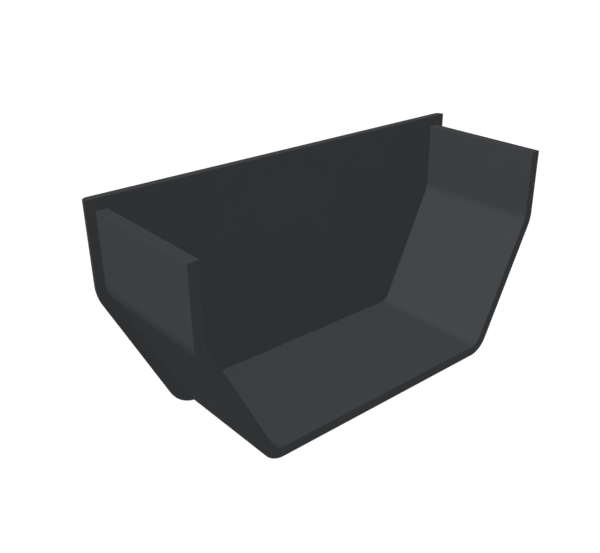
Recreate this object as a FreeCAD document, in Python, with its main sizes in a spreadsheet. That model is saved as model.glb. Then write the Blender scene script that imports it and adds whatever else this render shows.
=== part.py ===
import FreeCAD, Part
import math
import os

import Sketcher

# Stop end of a trapezoidal rain gutter, moulded in one piece. An end plate closes the gutter,
# and a collar runs out from the plate round the outside of the gutter.
# Lengths are millimetres and angles are degrees. X runs across the gutter, Y along it with
# the plate at the back, and Z is up. The origin is under the middle of the part, level with
# the base of the plate.

DIMENSIONS = [
    ("gutter_width", 125.0, "gutter between its upright sides, which is the inside of the collar"),
    ("gutter_depth", 62.7, "from the top edge of the collar down to its inside floor"),
    ("side_height", 20.8, "straight part of an upright side, from the top edge to the bend"),
    ("slope_angle", 26.0, "lean of a sloping side away from the vertical"),
    ("bend_radius", 7.5, "inside radius between an upright side and a sloping side"),
    ("corner_radius", 4.1, "inside radius between a sloping side and the floor"),
    ("wall_thickness", 3.4, "collar wall, the same all the way round"),
    ("collar_length", 43.0, "reach of the collar from the front face of the plate"),
    ("plate_thickness", 2.5, "end plate"),
    ("plate_margin", 2.9, "plate beyond the collar at the sides, the slopes and the base"),
    ("plate_rise", 3.5, "plate above the top edge of the collar"),
    ("plate_round", 2.0, "radius along the back edge of the plate, sides and base"),
    ("edge_break", 0.1, "radius along the free edges of the collar and the plate"),
    ("root_fillet", 0.1, "radius in the angle where the collar stands on the plate"),
]
SIZES = {alias: value for alias, value, _ in DIMENSIONS}

# How far each section lies outside the surface of the gutter.
GUTTER_SURFACE = "0"
COLLAR_SURFACE = "Dimensions.wall_thickness"
PLATE_SURFACE = "(Dimensions.wall_thickness + Dimensions.plate_margin)"

# Heights above the base of the plate. The floor of the gutter is as far above the base as
# the gutter's surface is inside the edge of the plate.
FLOOR = PLATE_SURFACE
COLLAR_TOP = f"({FLOOR} + Dimensions.gutter_depth)"
PLATE_TOP = f"({COLLAR_TOP} + Dimensions.plate_rise)"

# Point numbers on a piece of sketch geometry, and the numbers of the sketch's own axes.
START, END, CENTRE = 1, 2, 3
ORIGIN, VERTICAL_AXIS = -1, -2

# Two lengths closer than this count as the same.
TOLERANCE = 1e-4


def add_dimensions(document):
    """Writes the driving dimensions into a sheet, one row each with its meaning and value."""
    sheet = document.addObject("Spreadsheet::Sheet", "Dimensions")
    for row, (alias, value, meaning) in enumerate(DIMENSIONS, start=1):
        sheet.set(f"A{row}", meaning)
        sheet.set(f"B{row}", str(value))
        sheet.setAlias(f"B{row}", alias)
    document.recompute()


def origin_plane(body, role):
    """Finds one of the body's own origin planes by its role."""
    return next(plane for plane in body.Origin.OriginFeatures if plane.Role == role)


def draw_gutter_section():
    """Draws the gutter's section as lines and arcs, clockwise from the top of the right side."""
    lean = math.radians(SIZES["slope_angle"])
    floor = SIZES["wall_thickness"] + SIZES["plate_margin"]
    top = floor + SIZES["gutter_depth"]
    bend_radius, corner_radius = SIZES["bend_radius"], SIZES["corner_radius"]
    half_width = SIZES["gutter_width"] / 2
    bend_x, bend_z = half_width - bend_radius, top - SIZES["side_height"]

    # The sloping side touches both arcs, so the drop between their centres gives its run.
    corner_z = floor + corner_radius
    run = ((bend_z - corner_z) * math.sin(lean) - bend_radius + corner_radius) / math.cos(lean)
    corner_x = bend_x - run

    def point(x, z):
        return FreeCAD.Vector(x, z, 0)

    def arc(x, z, radius, first, last):
        circle = Part.Circle(point(x, z), FreeCAD.Vector(0, 0, 1), radius)
        return Part.ArcOfCircle(circle, first, last)

    half_turn, quarter_turn = math.pi, math.pi / 2
    bend_r = arc(bend_x, bend_z, bend_radius, -lean, 0)
    corner_r = arc(corner_x, corner_z, corner_radius, -quarter_turn, -lean)
    corner_l = arc(-corner_x, corner_z, corner_radius, half_turn + lean, half_turn + quarter_turn)
    bend_l = arc(-bend_x, bend_z, bend_radius, half_turn, half_turn + lean)
    return [
        Part.LineSegment(point(half_width, top), bend_r.EndPoint),
        bend_r,
        Part.LineSegment(corner_r.EndPoint, bend_r.StartPoint),
        corner_r,
        Part.LineSegment(corner_r.StartPoint, corner_l.EndPoint),
        corner_l,
        Part.LineSegment(corner_l.StartPoint, bend_l.EndPoint),
        bend_l,
        Part.LineSegment(bend_l.StartPoint, point(-half_width, top)),
        Part.LineSegment(point(-half_width, top), point(half_width, top)),
    ]


def add_section(body, name, offset, top):
    """Sketches the gutter's section across the body, moved outwards by offset, up to top.

    The arcs keep their centres, so every section is parallel to the gutter all the way round.
    """
    sketch = body.newObject("Sketcher::SketchObject", name)
    sketch.AttachmentSupport = (origin_plane(body, "XZ_Plane"), [""])
    sketch.MapMode = "FlatFace"
    sketch.addGeometry(draw_gutter_section(), False)

    side_r, bend_r, slope_r, corner_r, base, corner_l, slope_l, bend_l, side_l, brim = range(10)
    tangents = [
        (side_r, END, bend_r, END),
        (bend_r, START, slope_r, END),
        (slope_r, START, corner_r, END),
        (corner_r, START, base, START),
        (base, END, corner_l, END),
        (corner_l, START, slope_l, START),
        (slope_l, END, bend_l, END),
        (bend_l, START, side_l, START),
    ]
    joins = [
        (side_l, END, brim, START),
        (brim, END, side_r, START),
    ]
    pairs = [
        (brim, START, brim, END),
        (bend_l, CENTRE, bend_r, CENTRE),
        (corner_l, CENTRE, corner_r, CENTRE),
    ]
    sketch.addConstraint([Sketcher.Constraint("Tangent", *ends) for ends in tangents])
    sketch.addConstraint([Sketcher.Constraint("Coincident", *ends) for ends in joins])
    sketch.addConstraint([Sketcher.Constraint("Symmetric", *pair, VERTICAL_AXIS) for pair in pairs])
    sketch.addConstraint([
        Sketcher.Constraint("Vertical", side_r),
        Sketcher.Constraint("Equal", bend_r, bend_l),
        Sketcher.Constraint("Equal", corner_r, corner_l),
    ])

    bend, corner, side = (sketch.Geometry[number] for number in (bend_r, corner_r, side_r))
    lengths = {
        "half_bend_spacing": ("DistanceX", ORIGIN, START, bend_r, CENTRE, bend.Center.x),
        "bend_height": ("DistanceY", ORIGIN, START, bend_r, CENTRE, bend.Center.y),
        "corner_height": ("DistanceY", ORIGIN, START, corner_r, CENTRE, corner.Center.y),
        "top_height": ("DistanceY", ORIGIN, START, side_r, START, side.StartPoint.y),
        "bend_radius": ("Radius", bend_r, bend.Radius),
        "corner_radius": ("Radius", corner_r, corner.Radius),
    }
    formulas = {
        "half_bend_spacing": "Dimensions.gutter_width / 2 - Dimensions.bend_radius",
        "bend_height": f"{COLLAR_TOP} - Dimensions.side_height",
        "corner_height": f"{FLOOR} + Dimensions.corner_radius",
        "top_height": top,
        "bend_radius": f"Dimensions.bend_radius + {offset}",
        "corner_radius": f"Dimensions.corner_radius + {offset}",
    }
    for label, measure in lengths.items():
        bind_constraint(sketch, label, measure, f"({formulas[label]}) * 1 mm")
    rise = ("Angle", slope_r, math.radians(90 - SIZES["slope_angle"]))
    bind_constraint(sketch, "slope_rise", rise, "(90 - Dimensions.slope_angle) * 1 deg")
    return sketch


def bind_constraint(sketch, label, measure, formula):
    """Adds a named measure to a sketch and binds it to a formula on the sheet."""
    index = sketch.addConstraint(Sketcher.Constraint(*measure))
    sketch.renameConstraint(index, label)
    sketch.setExpression(f"Constraints.{label}", formula)


def add_extrusion(body, kind, name, sketch, length, towards_back):
    """Pads or pockets a sketch along Y by a length from the sheet."""
    feature = body.newObject(kind, name)
    feature.Profile = sketch
    # A pad runs to the front by itself, and a pocket to the back.
    feature.Reversed = towards_back == (kind == "PartDesign::Pad")
    feature.setExpression("Length", f"Dimensions.{length} * 1 mm")
    body.Document.recompute()
    return feature


def add_rounding(body, name, base, wanted, radius):
    """Rounds the edges of a feature that pass a test, by a radius from the sheet."""
    solid = base.Shape
    edges = [f"Edge{number}" for number, edge in enumerate(solid.Edges, start=1) if wanted(solid, edge)]
    fillet = body.newObject("PartDesign::Fillet", name)
    fillet.Base = (base, edges)
    fillet.setExpression("Radius", f"Dimensions.{radius} * 1 mm")
    body.Document.recompute()
    return fillet


def lies_at(edge, axis, value):
    """Says whether a whole edge lies at one value of X, Y or Z."""
    low = getattr(edge.BoundBox, f"{axis}Min")
    high = getattr(edge.BoundBox, f"{axis}Max")
    return abs(low - value) < TOLERANCE and abs(high - value) < TOLERANCE


def runs_along_collar(item):
    """Says whether an edge or a face takes up more than half of the collar's length."""
    return item.BoundBox.YLength > SIZES["collar_length"] / 2


def is_collar_foot(solid, edge):
    """Says whether an edge is where the collar stands on the front face of the plate."""
    faces = solid.ancestorsOfType(edge, Part.Face)
    return lies_at(edge, "Y", 0) and any(runs_along_collar(face) for face in faces)


def make_stop_end(document):
    """Builds the plate and the collar as one moulded body, and rounds its edges."""
    body = document.addObject("PartDesign::Body", "StopEnd")
    body.Label = "stop_end"

    # The front face of the plate lies on the sketch plane.
    plate_section = add_section(body, "PlateSection", PLATE_SURFACE, PLATE_TOP)
    plate = add_extrusion(body, "PartDesign::Pad", "EndPlate", plate_section, "plate_thickness", True)
    collar_section = add_section(body, "CollarSection", COLLAR_SURFACE, COLLAR_TOP)
    block = add_extrusion(body, "PartDesign::Pad", "CollarBlock", collar_section, "collar_length", False)

    # The gutter's space opens the collar at its mouth and its top.
    gutter_section = add_section(body, "GutterSection", GUTTER_SURFACE, PLATE_TOP)
    space = add_extrusion(body, "PartDesign::Pocket", "GutterSpace", gutter_section, "collar_length", False)
    if not plate.Shape.Volume < space.Shape.Volume < block.Shape.Volume:
        raise RuntimeError("the gutter's space doesn't cut the collar")

    mouth, back = -SIZES["collar_length"], SIZES["plate_thickness"]
    collar_top = collar_section.getDatum("top_height").Value
    plate_top = plate_section.getDatum("top_height").Value

    def is_back_edge(solid, edge):
        return lies_at(edge, "Y", back) and not lies_at(edge, "Z", plate_top)

    def is_free_edge(solid, edge):
        at_plate_front = lies_at(edge, "Y", 0) and not is_collar_foot(solid, edge)
        at_collar_top = lies_at(edge, "Z", collar_top) and runs_along_collar(edge)
        return at_plate_front or at_collar_top or lies_at(edge, "Z", plate_top) or lies_at(edge, "Y", mouth)

    back_round = add_rounding(body, "PlateBackRound", space, is_back_edge, "plate_round")
    # With its free edges rounded, the collar's foot is one smooth loop.
    softened = add_rounding(body, "FreeEdges", back_round, is_free_edge, "edge_break")
    body.Tip = add_rounding(body, "CollarFoot", softened, is_collar_foot, "root_fillet")

    centring = "(Dimensions.collar_length - Dimensions.plate_thickness) / 2 * 1 mm"
    body.setExpression("Placement.Base.y", centring)
    document.recompute()
    return body


def check(document, parts):
    """Stops the build if an object failed, a sketch is loose or a piece isn't one valid solid."""
    for item in document.Objects:
        if {"Invalid", "Error"} & set(item.State):
            raise RuntimeError(f"{item.Label} failed: {item.State}")
        if item.TypeId == "Sketcher::SketchObject" and not item.FullyConstrained:
            raise RuntimeError(f"{item.Label} isn't fully constrained")
    for part in parts:
        shape = part.Shape
        if shape.isNull() or not shape.isValid() or len(shape.Solids) != 1:
            raise RuntimeError(f"{part.Label} isn't one valid solid")


def main():
    """Builds the document and writes each piece to its own file."""
    document = FreeCAD.newDocument("GutterStopEnd")
    add_dimensions(document)
    parts = [make_stop_end(document)]
    check(document, parts)
    os.makedirs("parts", exist_ok=True)
    for part in parts:
        part.Shape.exportStep(f"parts/{part.Label}.step")
        box = part.Shape.optimalBoundingBox()
        print(f"{part.Label}: {box.XLength:.2f} x {box.YLength:.2f} x {box.ZLength:.2f} mm,",
              f"{part.Shape.Volume / 1000:.2f} cm3, {len(part.Shape.Faces)} faces")


main()
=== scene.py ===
import logging
import math
from collections.abc import Iterable, Mapping, Sequence
from dataclasses import dataclass, field, fields
from enum import Enum

import bpy
from mathutils import Euler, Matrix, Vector


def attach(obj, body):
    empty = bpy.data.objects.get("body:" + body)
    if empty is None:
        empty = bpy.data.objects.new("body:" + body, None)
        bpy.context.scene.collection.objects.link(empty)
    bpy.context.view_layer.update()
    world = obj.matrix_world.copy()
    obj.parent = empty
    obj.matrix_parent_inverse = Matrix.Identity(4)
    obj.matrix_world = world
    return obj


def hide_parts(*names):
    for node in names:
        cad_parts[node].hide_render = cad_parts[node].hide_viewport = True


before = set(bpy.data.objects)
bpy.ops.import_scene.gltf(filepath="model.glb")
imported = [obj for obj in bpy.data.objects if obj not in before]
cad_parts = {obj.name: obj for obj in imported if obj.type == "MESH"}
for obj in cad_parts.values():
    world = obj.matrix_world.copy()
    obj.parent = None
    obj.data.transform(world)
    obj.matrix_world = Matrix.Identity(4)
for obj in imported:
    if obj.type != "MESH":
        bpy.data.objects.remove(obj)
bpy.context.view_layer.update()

# A plastic stop end for a trapezoidal rain gutter: an end plate, and a collar that follows the
# gutter's section. Lengths are metres and angles are radians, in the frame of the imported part:
# X across the gutter, Y along it with the plate at the back, Z up from the base of the plate.

log = logging.getLogger("stop_end")

MILLIMETRE = 0.001
QUARTER_TURN = math.pi / 2
HALF_TURN = math.pi
THREE_QUARTER_TURN = 3 * QUARTER_TURN
FULL_TURN = 2 * math.pi

# Points of neighbouring surfaces that are nearer than this become one.
MERGE_DISTANCE = 0.000002

# The names under which points keep their directions.
OUTWARD = "outward"
TRUE_NORMAL = "true_normal"


class Value:
    """One output of a node, which takes part in sums as a number or a vector does."""

    def __init__(self, graph: "Graph", socket: bpy.types.NodeSocket) -> None:
        """Wraps a socket.

        Args:
            graph: The graph that holds the socket's node.
            socket: The output to wrap.
        """
        self.graph = graph
        self.socket = socket

    @property
    def is_vector(self) -> bool:
        """Says whether the output carries a vector."""
        return self.socket.type == "VECTOR"

    def __add__(self, other: "Feed") -> "Value":
        """Adds."""
        return self.graph.sum_of("ADD", self, other)

    def __radd__(self, other: "Feed") -> "Value":
        """Adds, with the wrapped value on the right."""
        return self.graph.sum_of("ADD", other, self)

    def __sub__(self, other: "Feed") -> "Value":
        """Subtracts."""
        return self.graph.sum_of("SUBTRACT", self, other)

    def __rsub__(self, other: "Feed") -> "Value":
        """Subtracts the wrapped value from a plain one."""
        return self.graph.sum_of("SUBTRACT", other, self)

    def __mul__(self, other: "Feed") -> "Value":
        """Multiplies."""
        return self.graph.sum_of("MULTIPLY", self, other)

    def __rmul__(self, other: "Feed") -> "Value":
        """Multiplies, with the wrapped value on the right."""
        return self.graph.sum_of("MULTIPLY", other, self)

    def __truediv__(self, other: "Feed") -> "Value":
        """Divides."""
        return self.graph.sum_of("DIVIDE", self, other)

    def __rtruediv__(self, other: "Feed") -> "Value":
        """Divides a plain value by the wrapped one."""
        return self.graph.sum_of("DIVIDE", other, self)

    def __mod__(self, other: "Feed") -> "Value":
        """Gives the remainder of a division."""
        return self.graph.sum_of("MODULO", self, other)

    def __rmod__(self, other: "Feed") -> "Value":
        """Gives the remainder of a plain value divided by the wrapped one."""
        return self.graph.sum_of("MODULO", other, self)

    def __neg__(self) -> "Value":
        """Turns the sign."""
        return self.graph.sum_of("MULTIPLY", self, -1.0)


Feed = Value | float | int | bool | str | Sequence[float] | bpy.types.ID


class Graph:
    """Adds nodes to one tree and joins them."""

    def __init__(self, tree: bpy.types.NodeTree) -> None:
        """Starts on a tree.

        Args:
            tree: The tree that takes the nodes.
        """
        self.tree = tree

    @classmethod
    def emptied(cls, holder: bpy.types.Material | bpy.types.World) -> "Graph":
        """Starts on the emptied tree of a material or a world.

        Args:
            holder: The material or world.

        Returns:
            The graph.
        """
        holder.use_nodes = True
        holder.node_tree.nodes.clear()
        return cls(holder.node_tree)

    def node(self, kind: str, settings: Mapping[str, object] | None = None,
             feeds: Mapping[str, Feed] | None = None) -> bpy.types.Node:
        """Adds a node of any type.

        Args:
            kind: Blender's name for the type of node.
            settings: The node's own settings, which are set first.
            feeds: Values or links for its inputs, by identifier or by name.

        Returns:
            The new node.
        """
        node = self.tree.nodes.new(kind)
        for name, setting in (settings or {}).items():
            setattr(node, name, setting)
        for name, feed in (feeds or {}).items():
            self.feed(self.find(node.inputs, name), feed)
        return node

    @staticmethod
    def find(sockets: Iterable[bpy.types.NodeSocket], name: str) -> bpy.types.NodeSocket:
        """Finds a socket by its identifier or else by its name.

        Args:
            sockets: The inputs or outputs of a node.
            name: What to look for.

        Returns:
            The socket, of those that are in use.
        """
        listed = [socket for socket in sockets if socket.enabled]
        named = [s for s in listed if s.identifier == name] or [s for s in listed if s.name == name]
        if not named:
            raise KeyError(f"no socket {name} among {[socket.name for socket in listed]}")
        return named[0]

    def feed(self, socket: bpy.types.NodeSocket, feed: Feed) -> None:
        """Links an input to a value, or sets it to a plain one.

        Args:
            socket: The input.
            feed: What it takes.
        """
        if isinstance(feed, Value):
            self.tree.links.new(feed.socket, socket)
        else:
            socket.default_value = feed

    def out(self, node: bpy.types.Node, name: str | int = 0) -> Value:
        """Wraps an output of a node, by number, identifier or name."""
        socket = node.outputs[name] if isinstance(name, int) else self.find(node.outputs, name)
        return Value(self, socket)

    def get(self, kind: str, settings: Mapping[str, object] | None = None,
            feeds: Mapping[str, Feed] | None = None, name: str | int = 0) -> Value:
        """Adds a node and gives one of its outputs, with the arguments of node and out."""
        return self.out(self.node(kind, settings, feeds), name)

    def sum_of(self, operation: str, first: Feed, second: Feed) -> Value:
        """Adds the node for one step of arithmetic.

        Args:
            operation: The name of the step, such as ADD.
            first: A value, a number or a vector.
            second: The same.

        Returns:
            The result, a vector where either side is one.
        """
        vectors = [side.is_vector if isinstance(side, Value) else isinstance(side, (tuple, Vector))
                   for side in (first, second)]
        if not any(vectors):
            return self.get("ShaderNodeMath", {"operation": operation},
                            {"Value": first, "Value_001": second})
        if operation == "MULTIPLY" and not all(vectors):
            vector, factor = (first, second) if vectors[0] else (second, first)
            return self.get("ShaderNodeVectorMath", {"operation": "SCALE"},
                            {"Vector": vector, "Scale": factor}, "Vector")
        return self.get("ShaderNodeVectorMath", {"operation": operation},
                        {"Vector": first, "Vector_001": second}, "Vector")

    def function(self, operation: str, number: Feed) -> Value:
        """Adds a Math node of one input, such as SINE."""
        return self.get("ShaderNodeMath", {"operation": operation}, {"Value": number})

    def vector(self, x: Feed = 0.0, y: Feed = 0.0, z: Feed = 0.0) -> Value:
        """Makes a vector of three numbers."""
        return self.get("ShaderNodeCombineXYZ", None, {"X": x, "Y": y, "Z": z})

    def parts(self, vector: Value) -> tuple[Value, Value, Value]:
        """Takes a vector apart into three numbers."""
        node = self.node("ShaderNodeSeparateXYZ", None, {"Vector": vector})
        return self.out(node, "X"), self.out(node, "Y"), self.out(node, "Z")


class Kind(Enum):
    """The kinds of socket on a node group."""

    GEOMETRY = "NodeSocketGeometry"
    NUMBER = "NodeSocketFloat"
    COUNT = "NodeSocketInt"
    SWITCH = "NodeSocketBool"
    VECTOR = "NodeSocketVector"
    ROTATION = "NodeSocketRotation"
    MATERIAL = "NodeSocketMaterial"


class GeometryGraph(Graph):
    """A geometry node group with named inputs and one geometry output."""

    def __init__(self, name: str, inputs: Mapping[str, Kind]) -> None:
        """Makes the group.

        Args:
            name: The group's name.
            inputs: The names and kinds of its inputs.
        """
        super().__init__(bpy.data.node_groups.new(name, "GeometryNodeTree"))
        for label, kind in inputs.items():
            self.tree.interface.new_socket(name=label, in_out="INPUT", socket_type=kind.value)
        self.tree.interface.new_socket(
            name="Geometry", in_out="OUTPUT", socket_type=Kind.GEOMETRY.value)
        self.entry = self.node("NodeGroupInput")

    def given(self, name: str) -> Value:
        """Gives one of the group's inputs."""
        return self.out(self.entry, name)

    def use(self, group: "GeometryGraph", feeds: Mapping[str, Feed]) -> Value:
        """Adds another group to this one and gives its geometry."""
        return self.get("GeometryNodeGroup", {"node_tree": group.tree}, feeds)

    def finish(self, geometry: Value) -> None:
        """Sends the geometry to the group's output."""
        self.node("NodeGroupOutput", None, {"Geometry": geometry})

    def join(self, pieces: Sequence[Value]) -> Value:
        """Joins geometry, and keeps the order of the pieces.

        Args:
            pieces: The geometry, first to last.

        Returns:
            The joined geometry.
        """
        node = self.node("GeometryNodeJoinGeometry")
        # The node takes its newest link first.
        for piece in reversed(pieces):
            self.tree.links.new(piece.socket, node.inputs[0])
        return self.out(node)

    def store(self, geometry: Value, name: str, vector: Value) -> Value:
        """Keeps a vector on every point under a name."""
        settings = {"data_type": "FLOAT_VECTOR", "domain": "POINT"}
        return self.get("GeometryNodeStoreNamedAttribute", settings,
                        {"Geometry": geometry, "Name": name, "Value": vector})

    def stored(self, name: str) -> Value:
        """Reads a vector that is kept under a name."""
        return self.get("GeometryNodeInputNamedAttribute", {"data_type": "FLOAT_VECTOR"},
                        {"Name": name}, "Attribute")

    def sampled(self, geometry: Value, vector: Value, index: Value) -> Value:
        """Reads a vector from one point of other geometry."""
        return self.get("GeometryNodeSampleIndex", {"data_type": "FLOAT_VECTOR", "domain": "POINT"},
                        {"Geometry": geometry, "Value": vector, "Index": index})

    def point_count(self, points: Value) -> Value:
        """Counts the points of a cloud."""
        return self.get("GeometryNodeAttributeDomainSize", {"component": "POINTCLOUD"},
                        {"Geometry": points}, "Point Count")

    def turned(self, vector: Value, turn: Value) -> Value:
        """Turns a vector."""
        return self.get("FunctionNodeRotateVector", None, {"Vector": vector, "Rotation": turn})


class SurfaceGroups:
    """The node groups that draw outlines of arcs, sweep them and fill them.

    An outline is a row of points, each with the direction that leads away from the material.
    Straight runs are the gaps between its arcs. A profile is an outline too, with X for how far
    the surface stands outside the first outline and Y for its depth.
    """

    def __init__(self) -> None:
        """Makes the groups."""
        self.arc = self.make_arc()
        self.sweep = self.make_sweep()
        self.outline = self.make_outline()
        self.face = self.make_face()

    @staticmethod
    def make_arc() -> GeometryGraph:
        """Makes the group that places points along one arc.

        Returns:
            The group.
        """
        graph = GeometryGraph("Arc of points", {
            "Centre": Kind.VECTOR, "Radius": Kind.NUMBER, "First angle": Kind.NUMBER,
            "Last angle": Kind.NUMBER, "Material side": Kind.NUMBER, "Steps": Kind.COUNT})
        first, steps = graph.given("First angle"), graph.given("Steps")
        index = graph.get("GeometryNodeInputIndex")
        # An arc of no steps is one point, at its first angle.
        share = index / graph.sum_of("MAXIMUM", steps, 1.0)
        angle = first + (graph.given("Last angle") - first) * share
        ray = graph.vector(graph.function("COSINE", angle), graph.function("SINE", angle))
        points = graph.get("GeometryNodePoints", None, {
            "Count": steps + 1.0, "Position": graph.given("Centre") + ray * graph.given("Radius")})
        graph.finish(graph.store(points, OUTWARD, ray * graph.given("Material side")))
        return graph

    @staticmethod
    def make_sweep() -> GeometryGraph:
        """Makes the group that sweeps a profile along an outline.

        Returns:
            The group.
        """
        graph = GeometryGraph("Swept surface", {
            "Outline": Kind.GEOMETRY, "Profile": Kind.GEOMETRY, "Closed": Kind.SWITCH,
            "Turn": Kind.ROTATION})
        outline, profile = graph.given("Outline"), graph.given("Profile")
        columns, rows = graph.point_count(outline), graph.point_count(profile)
        grid = graph.get("GeometryNodeMeshGrid", None, {
            "Vertices X": columns + graph.given("Closed"), "Vertices Y": rows}, "Mesh")
        index = graph.get("GeometryNodeInputIndex")
        # The half keeps the quotient clear of whole numbers, where rounding would tell.
        column = graph.function("FLOOR", (index + 0.5) / rows) % columns
        row = index % rows

        place = graph.get("GeometryNodeInputPosition")
        base = graph.sampled(outline, place, column)
        outward = graph.sampled(outline, graph.stored(OUTWARD), column)
        outset, depth, _ = graph.parts(graph.sampled(profile, place, row))
        across, ahead, _ = graph.parts(graph.sampled(profile, graph.stored(OUTWARD), row))
        position = base + outward * outset + graph.vector(z=depth)
        normal = outward * across + graph.vector(z=ahead)

        turn = graph.given("Turn")
        kept = graph.store(grid, TRUE_NORMAL, graph.turned(normal, turn))
        graph.finish(graph.get("GeometryNodeSetPosition", None, {
            "Geometry": kept, "Position": graph.turned(position, turn)}))
        return graph

    @staticmethod
    def make_outline() -> GeometryGraph:
        """Makes the group that draws an outline's points, moved outwards, as a closed curve.

        Returns:
            The group.
        """
        graph = GeometryGraph("Closed curve", {"Outline": Kind.GEOMETRY, "Outset": Kind.NUMBER})
        offset = graph.stored(OUTWARD) * graph.given("Outset")
        moved = graph.get("GeometryNodeSetPosition", None, {
            "Geometry": graph.given("Outline"), "Offset": offset})
        curve = graph.get("GeometryNodePointsToCurves", None, {
            "Points": moved, "Weight": graph.get("GeometryNodeInputIndex")})
        graph.finish(graph.get("GeometryNodeSetSplineCyclic", None, {
            "Geometry": curve, "Cyclic": True}))
        return graph

    @staticmethod
    def make_face() -> GeometryGraph:
        """Makes the group that fills closed curves with a flat face at one depth.

        Returns:
            The group.
        """
        graph = GeometryGraph("Flat face", {
            "Curves": Kind.GEOMETRY, "Depth": Kind.NUMBER, "Facing": Kind.NUMBER,
            "Turn": Kind.ROTATION})
        facing, turn = graph.given("Facing"), graph.given("Turn")
        sheet = graph.get("GeometryNodeFillCurve", {"mode": "TRIANGLES"},
                          {"Curve": graph.given("Curves")})
        behind = graph.get("FunctionNodeCompare", {"data_type": "FLOAT", "operation": "LESS_THAN"},
                           {"A": facing, "B": 0.0})
        sheet = graph.get("GeometryNodeFlipFaces", None, {"Mesh": sheet, "Selection": behind})
        kept = graph.store(sheet, TRUE_NORMAL, graph.turned(graph.vector(z=facing), turn))
        place = graph.get("GeometryNodeInputPosition") + graph.vector(z=graph.given("Depth"))
        graph.finish(graph.get("GeometryNodeSetPosition", None, {
            "Geometry": kept, "Position": graph.turned(place, turn)}))
        return graph


@dataclass(frozen=True)
class MouldedPlastic:
    """Anthracite plastic as it leaves a fine-spark-eroded mould.

    Attributes:
        name: The material's name.
        colour: Linear colour of the plastic.
        mottle: How far the colour wanders, as a share of it.
        mottle_size: Size of the clouds in the colour.
        mottle_detail: Finer layers in the clouds.
        speckle_size: Size of the fine spots in the colour.
        speckle_detail: Finer layers in the spots.
        roughness: Roughness in the middle of its range.
        roughness_range: How far the roughness wanders.
        grain_size: Size of the mould's grain.
        grain_detail: Finer layers in the grain.
        grain_height: Height of the grain.
        specular: Strength of the reflection.
    """

    name: str = "Anthracite plastic"
    colour: tuple[float, float, float] = (0.0500, 0.0532, 0.0568)
    mottle: float = 0.03
    mottle_size: float = 0.012
    mottle_detail: float = 4.0
    speckle_size: float = 0.000225
    speckle_detail: float = 1.0
    roughness: float = 0.9
    roughness_range: float = 0.06
    grain_size: float = 0.00045
    grain_detail: float = 2.0
    grain_height: float = 0.000008
    specular: float = 0.005

    def make(self) -> bpy.types.Material:
        """Builds the material's nodes.

        Returns:
            The material.
        """
        material = bpy.data.materials.new(self.name)
        graph = Graph.emptied(material)
        place = graph.get("ShaderNodeTexCoord", None, None, "Object")

        clouds = self.noise(graph, place, self.mottle_size, self.mottle_detail)
        grain = self.noise(graph, place, self.grain_size, self.grain_detail)
        speckle = self.noise(graph, place, self.speckle_size, self.speckle_detail)
        shade = 1.0 + (clouds - 0.5) * (2 * self.mottle) + (speckle - 0.5) * self.mottle
        colour = graph.get("ShaderNodeVectorMath", {"operation": "SCALE"},
                           {"Vector": self.colour, "Scale": shade}, "Vector")
        roughness = self.roughness + (clouds + grain - 1.0) * self.roughness_range
        bump = graph.get("ShaderNodeBump", None, {
            "Strength": 1.0, "Distance": self.grain_height, "Height": grain})
        shader = graph.get("ShaderNodeBsdfPrincipled", None, {
            "Base Color": colour, "Roughness": roughness, "Normal": bump,
            "Specular IOR Level": self.specular})
        graph.node("ShaderNodeOutputMaterial", None, {"Surface": shader})
        return material

    @staticmethod
    def noise(graph: Graph, place: Value, size: float, detail: float) -> Value:
        """Adds a noise pattern.

        Args:
            graph: The material's graph.
            place: The coordinates.
            size: The size of the pattern's spots.
            detail: How many finer layers it has.

        Returns:
            The pattern, around one half.
        """
        return graph.get("ShaderNodeTexNoise", {"noise_dimensions": "3D"}, {
            "Vector": place, "Scale": 1 / size, "Detail": detail}, "Fac")


class Plane(Enum):
    """The planes that outlines lie in, as the turn from X and Y of the outline."""

    FRONT = (QUARTER_TURN, 0.0, 0.0)
    PLAN = (0.0, 0.0, 0.0)


class Facing(Enum):
    """Which way a flat face looks, as the sign of its depth."""

    AHEAD = 1.0
    BACK = -1.0


class PlasticSide(Enum):
    """Where the plastic lies at an arc, as the sign of the direction away from it."""

    INSIDE = 1.0
    OUTSIDE = -1.0


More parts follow.
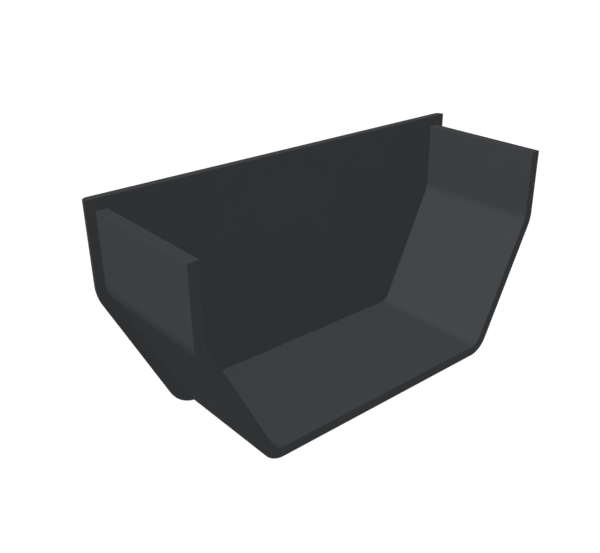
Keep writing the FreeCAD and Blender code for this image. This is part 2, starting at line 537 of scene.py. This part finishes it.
@dataclass
class StopEnd:
    """The moulding, an end plate with a collar that follows the gutter's section.

    Attributes:
        gutter_width: Gutter between its upright sides, the inside of the collar.
        gutter_depth: Top edge of the collar down to its inside floor.
        side_height: Straight part of an upright side.
        slope_angle: Lean of a sloping side away from the vertical.
        bend_radius: Inside radius between an upright and a sloping side.
        corner_radius: Inside radius between a sloping side and the floor.
        wall_thickness: Collar wall.
        collar_length: Reach of the collar from the plate.
        plate_thickness: End plate.
        plate_margin: Plate beyond the collar at the sides, slopes and base.
        plate_rise: Plate above the top edge of the collar.
        plate_round: Radius along the back edge of the plate.
        edge_break: Radius along the free edges.
        root_fillet: Radius in the angle between collar and plate.
        bend_steps: Facets along each large arc.
        round_steps: Facets round the back edge.
        edge_steps: Facets round a free edge or the foot of the collar.
        finish: The plastic.
    """

    gutter_width: float = 125.0 * MILLIMETRE
    gutter_depth: float = 62.7 * MILLIMETRE
    side_height: float = 20.8 * MILLIMETRE
    slope_angle: float = math.radians(26.0)
    bend_radius: float = 7.5 * MILLIMETRE
    corner_radius: float = 4.1 * MILLIMETRE
    wall_thickness: float = 3.4 * MILLIMETRE
    collar_length: float = 43.0 * MILLIMETRE
    plate_thickness: float = 2.5 * MILLIMETRE
    plate_margin: float = 2.9 * MILLIMETRE
    plate_rise: float = 3.5 * MILLIMETRE
    plate_round: float = 2.0 * MILLIMETRE
    edge_break: float = 0.1 * MILLIMETRE
    root_fillet: float = 0.1 * MILLIMETRE
    bend_steps: int = 16
    round_steps: int = 8
    edge_steps: int = 4
    finish: MouldedPlastic = field(default_factory=MouldedPlastic)

    def build(self) -> bpy.types.Object:
        """Builds and dresses the moulding, hangs it on the root body and hides the imported part.

        Returns:
            The finished piece.
        """
        piece = self.mesh_from_rule()
        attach(piece, "root")
        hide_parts("stop_end")
        return piece

    def sizes(self) -> dict[str, float | int]:
        """Gives the rule's sizes by name."""
        return {item.name: getattr(self, item.name)
                for item in fields(self) if item.name != "finish"}

    def mesh_from_rule(self) -> bpy.types.Object:
        """Runs the geometry nodes and keeps their result as a plain mesh.

        Returns:
            The moulding's object, at the origin.
        """
        tree = self.make_rule()
        carrier = bpy.data.objects.new("rule", bpy.data.meshes.new("rule"))
        bpy.context.scene.collection.objects.link(carrier)
        modifier = carrier.modifiers.new("rule", "NODES")
        modifier.node_group = tree
        feeds = dict(self.sizes(), material=self.finish.make())
        for socket in tree.interface.items_tree:
            if socket.in_out == "INPUT":
                modifier[socket.identifier] = feeds[socket.name]
        evaluated = carrier.evaluated_get(bpy.context.evaluated_depsgraph_get())
        mesh = bpy.data.meshes.new_from_object(evaluated)
        mesh.name = "stop_end_moulding"
        mesh.materials.clear()
        mesh.materials.append(feeds["material"])
        mesh.polygons.foreach_set("material_index", [0] * len(mesh.polygons))
        bpy.data.objects.remove(carrier)
        piece = bpy.data.objects.new("stop_end_moulding", mesh)
        bpy.context.scene.collection.objects.link(piece)
        return piece

    def make_rule(self) -> bpy.types.NodeTree:
        """Makes the tree that shapes the moulding from its sizes.

        Returns:
            The tree.
        """
        kinds = {name: Kind.COUNT if isinstance(size, int) else Kind.NUMBER
                 for name, size in self.sizes().items()}
        graph = GeometryGraph("Moulded stop end", kinds | {"material": Kind.MATERIAL})
        return MouldingRule(graph, SurfaceGroups()).draw()


class MouldingRule:
    """The moulding's surfaces, as sums on the named inputs of its tree."""

    def __init__(self, graph: GeometryGraph, groups: SurfaceGroups) -> None:
        """Works out the places that the surfaces share.

        Args:
            graph: The tree, with the sizes as its inputs.
            groups: The groups that draw, sweep and fill outlines.
        """
        self.graph = graph
        self.groups = groups
        given = graph.given
        self.edge, self.foot = given("edge_break"), given("root_fillet")
        self.back_round, self.wall = given("plate_round"), given("wall_thickness")
        self.length, self.thickness = given("collar_length"), given("plate_thickness")
        self.lean = given("slope_angle")
        self.half_width = given("gutter_width") / 2.0
        self.bend_radius, self.corner_radius = given("bend_radius"), given("corner_radius")
        self.bend_steps = given("bend_steps")
        self.edge_steps = given("edge_steps")

        self.plate_offset = self.wall + given("plate_margin")
        self.collar_top = self.plate_offset + given("gutter_depth")
        self.plate_top = self.collar_top + given("plate_rise")
        self.bend_x = self.half_width - self.bend_radius
        self.bend_z = self.collar_top - given("side_height")
        self.corner_z = self.plate_offset + self.corner_radius
        # A slope touches both of its arcs, which fixes how far apart their centres are.
        drop = (self.bend_z - self.corner_z) * graph.function("SINE", self.lean)
        run = (drop - self.bend_radius + self.corner_radius) / graph.function("COSINE", self.lean)
        self.corner_x = self.bend_x - run
        # Depth runs forwards, from the middle of the part.
        self.plate_front = (self.thickness - self.length) / 2.0
        self.plate_back = self.plate_front - self.thickness
        self.mouth = self.plate_front + self.length

    def draw(self) -> bpy.types.NodeTree:
        """Joins the surfaces into one closed skin with its true normals.

        Returns:
            The finished tree.
        """
        graph = self.graph
        collar, plate, brim = self.collar_outline(), self.plate_outline(), self.brim_outline()
        skin = graph.join([
            self.sweep(collar, self.collar_profile(), True, Plane.FRONT),
            self.sweep(plate, self.plate_profile(), False, Plane.FRONT),
            self.sweep(brim, self.brim_profile(), True, Plane.PLAN),
            self.face([(plate, -self.edge), (collar, self.foot)], self.plate_front,
                      Facing.AHEAD, Plane.FRONT),
            self.face([(plate, -self.back_round)], self.plate_back, Facing.BACK, Plane.FRONT),
            self.face([(collar, -self.edge)], self.mouth, Facing.AHEAD, Plane.FRONT),
            self.face([(brim, -self.edge)], self.plate_top, Facing.AHEAD, Plane.PLAN),
        ])
        skin = graph.get("GeometryNodeMergeByDistance", None, {
            "Geometry": skin, "Distance": MERGE_DISTANCE})
        skin = graph.get("GeometryNodeSetShadeSmooth", None, {
            "Geometry": skin, "Shade Smooth": True})
        skin = graph.get("GeometryNodeSetMeshNormal", {"mode": "FREE", "domain": "POINT"}, {
            "Mesh": skin, "Custom Normal": graph.stored(TRUE_NORMAL)})
        skin = graph.get("GeometryNodeRemoveAttribute", None, {
            "Geometry": skin, "Name": TRUE_NORMAL})
        skin = graph.get("GeometryNodeRealizeInstances", None, {"Geometry": skin})
        graph.finish(graph.get("GeometryNodeSetMaterial", None, {
            "Geometry": skin, "Material": graph.given("material")}))
        return graph.tree

    def arc(self, centre: tuple[Feed, Feed], radius: Feed, angles: tuple[Feed, Feed], steps: Feed,
            plastic: PlasticSide = PlasticSide.INSIDE) -> Value:
        """Draws one arc of an outline.

        Args:
            centre: Its centre in the plane of the outline.
            radius: Its radius.
            angles: Its first and last angle.
            steps: How many facets it has.
            plastic: Where the plastic lies.

        Returns:
            The arc's points.
        """
        return self.graph.use(self.groups.arc, {
            "Centre": self.graph.vector(*centre), "Radius": radius, "First angle": angles[0],
            "Last angle": angles[1], "Material side": plastic.value, "Steps": steps})

    def gutter_arcs(self, offset: Feed, plastic: PlasticSide = PlasticSide.INSIDE) -> list[Value]:
        """Draws the four arcs of the gutter's section, from the left side to the right.

        Args:
            offset: How far the surface lies outside the gutter.
            plastic: Where the plastic lies. Round the inside of the collar the arcs run
                from right to left.

        Returns:
            The arcs in the order of the outline.
        """
        left_slope, right_slope = self.lean + HALF_TURN, FULL_TURN - self.lean
        bend, corner = self.bend_radius + offset, self.corner_radius + offset
        arcs = [
            ((-self.bend_x, self.bend_z), bend, (HALF_TURN, left_slope)),
            ((-self.corner_x, self.corner_z), corner, (left_slope, THREE_QUARTER_TURN)),
            ((self.corner_x, self.corner_z), corner, (THREE_QUARTER_TURN, right_slope)),
            ((self.bend_x, self.bend_z), bend, (right_slope, FULL_TURN)),
        ]
        if plastic is PlasticSide.OUTSIDE:
            arcs = [(centre, radius, angles[::-1]) for centre, radius, angles in reversed(arcs)]
        return [self.arc(*arc, self.bend_steps, plastic) for arc in arcs]

    def collar_outline(self) -> Value:
        """Draws the closed section of the collar, outside and inside.

        Returns:
            The outline.
        """
        top = self.collar_top - self.edge
        outer, inner = self.half_width + self.wall - self.edge, self.half_width + self.edge

        def corner(x: Value, first: float) -> Value:
            """Draws one small corner at the top of the collar."""
            return self.arc((x, top), self.edge, (first, first + QUARTER_TURN), self.edge_steps)

        return self.graph.join([
            corner(-outer, QUARTER_TURN), *self.gutter_arcs(self.wall), corner(outer, 0.0),
            corner(inner, QUARTER_TURN), *self.gutter_arcs(0.0, PlasticSide.OUTSIDE),
            corner(-inner, 0.0)])

    def plate_outline(self) -> Value:
        """Draws the plate's edge from the top of its left side to the top of its right side.

        Returns:
            The outline.
        """
        top = self.plate_top - self.edge
        radius = self.bend_radius + self.plate_offset
        return self.graph.join([
            self.arc((-self.bend_x, top), radius, (HALF_TURN, HALF_TURN), 0),
            *self.gutter_arcs(self.plate_offset),
            self.arc((self.bend_x, top), radius, (0.0, 0.0), 0)])

    def brim_outline(self) -> Value:
        """Draws the plate's top edge as seen from above.

        Returns:
            The outline.
        """
        half = self.half_width + self.plate_offset
        front_x, front_y = half - self.edge, self.edge - self.plate_front
        back_x, back_y = half - self.back_round, -self.plate_back - self.back_round
        steps = self.graph.given("round_steps")
        return self.graph.join([
            self.arc((-front_x, front_y), self.edge, (HALF_TURN, THREE_QUARTER_TURN),
                     self.edge_steps),
            self.arc((front_x, front_y), self.edge, (-QUARTER_TURN, 0.0), self.edge_steps),
            self.arc((back_x, back_y), self.back_round, (0.0, QUARTER_TURN), steps),
            self.arc((-back_x, back_y), self.back_round, (QUARTER_TURN, HALF_TURN), steps)])

    def rounded_edge(self, depth: Value) -> Value:
        """Draws a free edge's profile, from the side to the face at a depth."""
        centre = (-self.edge, depth - self.edge)
        return self.arc(centre, self.edge, (0.0, QUARTER_TURN), self.edge_steps)

    def collar_profile(self) -> Value:
        """Draws the collar's profile from the plate to the mouth."""
        foot = self.arc((self.foot, self.plate_front + self.foot), self.foot,
                        (THREE_QUARTER_TURN, HALF_TURN), self.edge_steps, PlasticSide.OUTSIDE)
        return self.graph.join([foot, self.rounded_edge(self.mouth)])

    def plate_profile(self) -> Value:
        """Draws the plate's edge profile from the back to the front."""
        back = self.arc((-self.back_round, self.plate_back + self.back_round), self.back_round,
                        (-QUARTER_TURN, 0.0), self.graph.given("round_steps"))
        return self.graph.join([back, self.rounded_edge(self.plate_front)])

    def brim_profile(self) -> Value:
        """Draws the profile of the plate's top edge."""
        return self.rounded_edge(self.plate_top)

    def sweep(self, outline: Value, profile: Value, closed: bool, plane: Plane) -> Value:
        """Sweeps a profile along an outline."""
        return self.graph.use(self.groups.sweep, {
            "Outline": outline, "Profile": profile, "Closed": closed, "Turn": Euler(plane.value)})

    def face(self, curves: Sequence[tuple[Value, Feed]], depth: Value, facing: Facing,
             plane: Plane) -> Value:
        """Fills outlines with a flat face.

        Args:
            curves: Each outline and how far the face's edge lies outside it.
            depth: Where the face lies.
            facing: Which way it looks along the depth.
            plane: The plane of the outlines.

        Returns:
            The face.
        """
        drawn = [self.graph.use(self.groups.outline, {"Outline": outline, "Outset": outset})
                 for outline, outset in curves]
        return self.graph.use(self.groups.face, {
            "Curves": self.graph.join(drawn), "Depth": depth, "Facing": facing.value,
            "Turn": Euler(plane.value)})


@dataclass(frozen=True)
class Lamp:
    """A far lamp.

    Attributes:
        name: The lamp's name.
        towards: Direction from the object to the lamp.
        strength: Its strength.
        spread: The angle that it spans.
        shadow: Whether it casts shadows.
        glossy: Whether it shows as a highlight.
    """

    name: str
    towards: tuple[float, float, float]
    strength: float
    spread: float = math.radians(20.0)
    shadow: bool = False
    glossy: bool = True

    def hang(self) -> None:
        """Adds the lamp to the scene."""
        light = bpy.data.lights.new(self.name, "SUN")
        light.energy, light.angle, light.use_shadow = self.strength, self.spread, self.shadow
        lamp = bpy.data.objects.new(self.name, light)
        lamp.rotation_euler = Vector(self.towards).to_track_quat("Z", "Y").to_euler()
        lamp.visible_glossy = self.glossy
        bpy.context.scene.collection.objects.link(lamp)


def grey(level: float) -> tuple[float, float, float, float]:
    """Gives a grey as a colour socket takes it."""
    return (level, level, level, 1.0)


@dataclass
class Studio:
    """The pale floor, the soft lamps and the white surroundings.

    Attributes:
        floor_size: Width of the floor.
        floor_colour: What the floor reflects onto the object.
        floor_white: Colour of the floor as the background.
        floor_glow: Light of its own that lifts the background to white.
        sky: Brightness of the surroundings on the object.
        lamps: The lamps.
    """

    floor_size: float = 40.0
    floor_colour: float = 0.12
    floor_white: float = 0.95
    floor_glow: float = 0.155
    sky: float = 0.12
    lamps: tuple[Lamp, ...] = (
        Lamp("Key lamp", (-0.575, -0.461, 0.803), 3.52),
        Lamp("Low lamp", (-0.26, 0.20, -0.08), 0.91, glossy=False),
        Lamp("Back lamp", (0.75, 0.66, 0.0), 2.0, glossy=False),
    )

    def build(self) -> None:
        """Adds the floor, the surroundings and the lamps."""
        for lamp in self.lamps:
            lamp.hang()
        self.light_surroundings()
        self.lay_floor()
        bpy.context.scene.view_settings.view_transform = "Standard"

    @staticmethod
    def seen_rays(graph: Graph) -> Value:
        """Marks the kinds of ray that show the background.

        Args:
            graph: The graph that asks.

        Returns:
            1 for those kinds, and 0 for the rest.
        """
        path = graph.node("ShaderNodeLightPath")
        seen = (graph.out(path, "Is Camera Ray") + graph.out(path, "Is Glossy Ray")
                + graph.out(path, "Is Transmission Ray"))
        return graph.sum_of("MINIMUM", seen, 1.0)

    def light_surroundings(self) -> None:
        """Makes the world white to look at and soft on the object."""
        world = bpy.data.worlds.new("Surroundings")
        graph = Graph.emptied(world)
        strength = self.sky + self.seen_rays(graph) * (1.0 - self.sky)
        background = graph.get("ShaderNodeBackground", None, {
            "Color": grey(1.0), "Strength": strength})
        graph.node("ShaderNodeOutputWorld", None, {"Surface": background})
        bpy.context.scene.world = world

    def lay_floor(self) -> None:
        """Lays the floor, which takes the object's shadow."""
        half = self.floor_size / 2
        corners = [(-half, -half, 0.0), (half, -half, 0.0), (half, half, 0.0), (-half, half, 0.0)]
        mesh = bpy.data.meshes.new("floor")
        mesh.from_pydata(corners, [], [(0, 1, 2, 3)])
        mesh.materials.append(self.floor_material())
        floor = bpy.data.objects.new("floor", mesh)
        bpy.context.scene.collection.objects.link(floor)

    def floor_material(self) -> bpy.types.Material:
        """Makes the floor white to look at and dull on the object.

        Returns:
            The material.
        """
        material = bpy.data.materials.new("Pale floor")
        graph = Graph.emptied(material)
        dull = graph.get("ShaderNodeBsdfDiffuse", None, {"Color": grey(self.floor_colour)})
        white = graph.get("ShaderNodeBsdfDiffuse", None, {"Color": grey(self.floor_white)})
        glow = graph.get("ShaderNodeEmission", None, {"Strength": self.floor_glow})
        lifted = graph.get("ShaderNodeAddShader", None, {"Shader": white, "Shader_001": glow})
        mixed = graph.get("ShaderNodeMixShader", None, {
            "Fac": self.seen_rays(graph), "Shader": dull, "Shader_001": lifted})
        graph.node("ShaderNodeOutputMaterial", None, {"Surface": mixed})
        return material


@dataclass(frozen=True)
class ViewCamera:
    """The camera at the photograph's viewing angle.

    Attributes:
        place: Where it stands.
        azimuth: How far it looks to the right of +Y.
        elevation: How far it looks down.
        focal_length: Focal length in pixels.
        centre: Where the picture's axis meets it, in pixels from the top left.
        frame_size: The picture's width and height in pixels.
        sensor_width: Sensor width in millimetres.
        reach: Nearest and farthest distance that it sees.
    """

    place: tuple[float, float, float] = (-0.14635, -0.15995, 0.14037)
    azimuth: float = math.radians(41.2995)
    elevation: float = math.radians(26.2069)
    focal_length: float = 781.36
    centre: tuple[float, float] = (323.61, 286.17)
    frame_size: tuple[int, int] = (600, 553)
    sensor_width: float = 36.0
    reach: tuple[float, float] = (0.01, 100.0)

    def build(self) -> None:
        """Adds the camera and makes it the scene's."""
        width, height = self.frame_size
        data = bpy.data.cameras.new("Camera")
        data.sensor_fit = "HORIZONTAL"
        data.sensor_width = self.sensor_width
        data.lens = self.focal_length * self.sensor_width / width
        data.shift_x = (width / 2 - self.centre[0]) / width
        data.shift_y = (self.centre[1] - height / 2) / width
        data.clip_start, data.clip_end = self.reach
        camera = bpy.data.objects.new("Camera", data)
        camera.location = self.place
        camera.rotation_euler = (QUARTER_TURN - self.elevation, 0.0, -self.azimuth)
        bpy.context.scene.collection.objects.link(camera)
        bpy.context.scene.camera = camera


def main() -> None:
    """Builds the scene in order and reports each piece."""
    logging.basicConfig(level=logging.INFO, format="%(name)s: %(message)s")
    ViewCamera().build()
    piece = StopEnd().build()
    points, faces = len(piece.data.vertices), len(piece.data.polygons)
    log.info("%s: %d points, %d faces", piece.name, points, faces)
    Studio().build()


if __name__ == "__main__":
    main()
